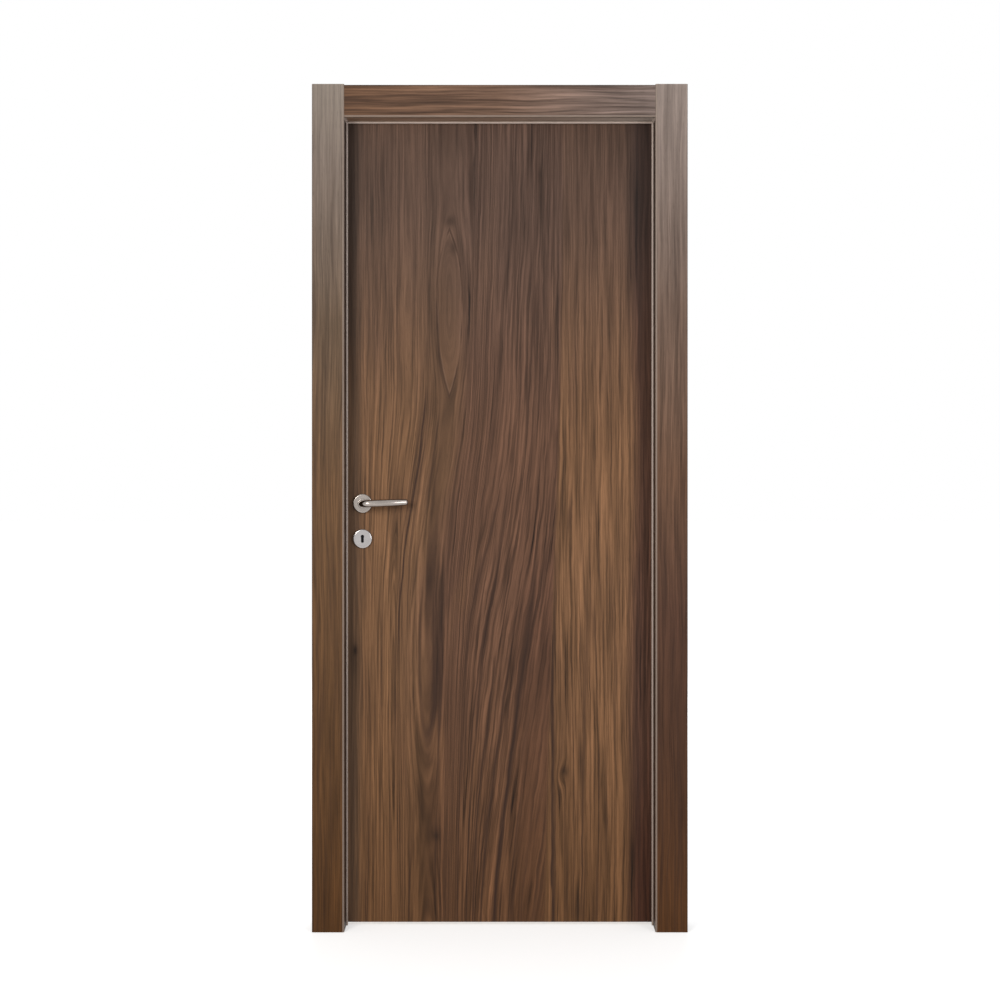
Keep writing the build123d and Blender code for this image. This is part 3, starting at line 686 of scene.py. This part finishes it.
dress(lock_steel, "lock_case", "spindle")


# Screws in the hinge plates, the faceplate and the strike plate, in metres
SCREW_RADIUS = 0.0042
SCREW_PROUD = 0.00015
SCREW_DEPTH = 4 * SCREW_PROUD
SCREW_SEGMENTS = 24
CROSS_LENGTH = 0.0046
CROSS_WIDTH = 0.0009
QUARTER_TURN = math.pi / 2
# Share of the hinge's height and distance across its plate
HINGE_SCREWS = ((0.14, 0.009), (0.38, 0.019), (0.62, 0.019), (0.86, 0.009))
# Distance from the ends of a plate
SCREW_END = 0.014
turns = random.Random(7)


def screw_piece(name, body, material, mesh_parts):
    mesh = bpy.data.meshes.new(name)
    mesh_parts.to_mesh(mesh)
    mesh_parts.free()
    mesh.materials.append(material)
    piece = bpy.data.objects.new(name, mesh)
    scene.collection.objects.link(piece)
    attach(piece, body)


def add_screws(body, places):
    """Countersunk heads, each with a thin dark cross on top as painted shade for its cross recess.

    Each place is a point on a plate and the way the plate faces along x.
    """
    heads = bmesh.new()
    cross_shades = bmesh.new()
    for point, facing in places:
        turned = Matrix.Rotation(facing * QUARTER_TURN, 4, "Y")
        centre = point + Vector((facing * (SCREW_PROUD - SCREW_DEPTH / 2), 0.0, 0.0))
        bmesh.ops.create_cone(
            heads,
            cap_ends=True,
            segments=SCREW_SEGMENTS,
            radius1=SCREW_RADIUS,
            radius2=SCREW_RADIUS - SCREW_PROUD,
            depth=SCREW_DEPTH,
            matrix=Matrix.Translation(centre) @ turned,
        )
        start = turns.uniform(0.0, QUARTER_TURN)
        top = point + Vector((facing * SCREW_PROUD, 0.0, 0.0))
        for angle in (start, start + QUARTER_TURN):
            size = Matrix.Diagonal((SCREW_PROUD / 2, CROSS_LENGTH, CROSS_WIDTH, 1.0))
            spin = Matrix.Rotation(angle, 4, "X")
            bmesh.ops.create_cube(cross_shades, size=1.0, matrix=Matrix.Translation(top) @ spin @ size)
    screw_piece(body + "_screws", body, nickel, heads)
    screw_piece(body + "_screw_crosses", body, lock_steel, cross_shades)


def hinge_places(suffix, face_x, facing):
    places = []
    for height in ("upper", "middle", "lower"):
        low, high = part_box(height + suffix)
        tall = high.z - low.z
        for share, across in HINGE_SCREWS:
            places.append((Vector((face_x, low.y + across, low.z + share * tall)), facing))
    return places


def end_places(name, face_x, facing):
    low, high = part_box(name)
    middle_y = (low.y + high.y) / 2
    heights = (low.z + SCREW_END, high.z - SCREW_END)
    return [(Vector((face_x, middle_y, z)), facing) for z in heights]


leaf_edge_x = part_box("leaf_hinge_edge")[1].x
barrel_low, barrel_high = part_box("upper_hinge_frame")
seat_x = barrel_low.x + barrel_high.x - leaf_edge_x
faceplate_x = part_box("lock_faceplate")[0].x
strike_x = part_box("strike_plate")[1].x
add_screws(
    "frame",
    hinge_places("_hinge_frame", seat_x, -1) + end_places("strike_plate", strike_x, 1),
)
add_screws(
    "leaf",
    hinge_places("_hinge_leaf", leaf_edge_x, 1) + end_places("lock_faceplate", faceplate_x, -1),
)


# Camera, level, at the height where the soffit and the feet show as in the picture
PICTURE_PIXELS = 1000
METRES_PER_PIXEL = 0.0025685
CAMERA_DISTANCE = 4.5
CAMERA_HEIGHT = 1.2134
CAMERA_ASIDE = 0.0005
EYE_SHIFT = -0.04
SENSOR_WIDTH = 36.0
camera_data = bpy.data.cameras.new("camera")
camera = bpy.data.objects.new("camera", camera_data)
scene.collection.objects.link(camera)
camera.location = (middle_x + CAMERA_ASIDE, casing_face - CAMERA_DISTANCE, CAMERA_HEIGHT)
camera.rotation_euler = (math.pi / 2, 0.0, 0.0)
camera_data.sensor_width = SENSOR_WIDTH
camera_data.lens = SENSOR_WIDTH * CAMERA_DISTANCE / (PICTURE_PIXELS * METRES_PER_PIXEL)
camera_data.shift_y = EYE_SHIFT
scene.camera = camera


# Floor, light and background
WHITE = (1.0, 1.0, 1.0, 1.0)
FLOOR_GREY = (0.80, 0.80, 0.80, 1.0)
FLOOR_HALF = 30.0
FLOOR_DROP = 0.0005
# The floor glows on its own, less near the door so that the shadow shows there
FLOOR_GLOW = 0.56
FLOOR_GLOW_MORE = 0.18
FLOOR_GLOW_SPAN = (1.2, 4.5)
# Strength of the background on rays that light things
LIT_LEVEL = 0.35


def seen_directly(tree):
    """1 on rays from the camera, or by way of metal or glass, and 0 on rays that light things."""
    path = tree.nodes.new("ShaderNodeLightPath")
    seen = Signal(tree, path.outputs["Is Camera Ray"])
    seen = seen.greater(Signal(tree, path.outputs["Is Glossy Ray"]))
    return seen.greater(Signal(tree, path.outputs["Is Transmission Ray"]))


def floor_piece():
    mesh = bpy.data.meshes.new("floor")
    corners = [(-1, -1), (1, -1), (1, 1), (-1, 1)]
    mesh.from_pydata(
        [(x * FLOOR_HALF, y * FLOOR_HALF, 0) for x, y in corners], [], [(0, 1, 2, 3)]
    )
    floor = bpy.data.objects.new("floor", mesh)
    floor.location.z = cad_low.z - FLOOR_DROP
    scene.collection.objects.link(floor)
    made = bpy.data.materials.new("floor_white")
    made.use_nodes = True
    tree = made.node_tree
    shader = tree.nodes["Principled BSDF"]
    shader.inputs["Base Color"].default_value = FLOOR_GREY
    shader.inputs["Roughness"].default_value = 0.9
    shader.inputs["Specular IOR Level"].default_value = 0.0
    place = tree.nodes.new("ShaderNodeNewGeometry")
    away = tree.nodes.new("ShaderNodeVectorMath")
    away.operation = "DISTANCE"
    tree.links.new(place.outputs["Position"], away.inputs[0])
    away.inputs[1].default_value = (middle_x, 0.0, floor.location.z)
    distance = Signal(tree, away.outputs["Value"])
    glow = distance.step(*FLOOR_GLOW_SPAN) * FLOOR_GLOW_MORE + FLOOR_GLOW
    connect(tree, seen_directly(tree) * glow, shader.inputs["Emission Strength"])
    shader.inputs["Emission Color"].default_value = WHITE
    mesh.materials.append(made)


def area_light(name, place, aim_height, size, power, colour):
    """A rectangular lamp aimed at the middle of the door, at a height."""
    data = bpy.data.lights.new(name, "AREA")
    data.shape = "RECTANGLE"
    data.size, data.size_y = size
    data.energy = power
    data.color = colour
    lamp = bpy.data.objects.new(name, data)
    lamp.location = place
    target = Vector((middle_x, 0.0, aim_height))
    lamp.rotation_euler = (target - Vector(place)).to_track_quat("-Z", "Y").to_euler()
    scene.collection.objects.link(lamp)


floor_piece()
area_light(
    "key",
    place=(-2.3, -3.9, 2.1),
    aim_height=1.2,
    size=(1.4, 1.5),
    power=88.0,
    colour=(1.0, 0.96, 0.91),
)
area_light(
    "fill",
    place=(1.9, -3.8, 1.8),
    aim_height=1.0,
    size=(1.5, 1.8),
    power=52.0,
    colour=(0.98, 0.98, 1.0),
)
area_light(
    "back",
    place=(-0.4, 4.4, 3.0),
    aim_height=1.1,
    size=(3.0, 2.0),
    power=110.0,
    colour=(1.0, 1.0, 1.0),
)

world = bpy.data.worlds.new("studio")
scene.world = world
world.use_nodes = True
world_tree = world.node_tree
backdrop = world_tree.nodes["Background"]
brightness = seen_directly(world_tree) * (1.0 - LIT_LEVEL) + LIT_LEVEL
connect(world_tree, brightness, backdrop.inputs["Strength"])
backdrop.inputs["Color"].default_value = WHITE

scene.view_settings.view_transform = "Standard"
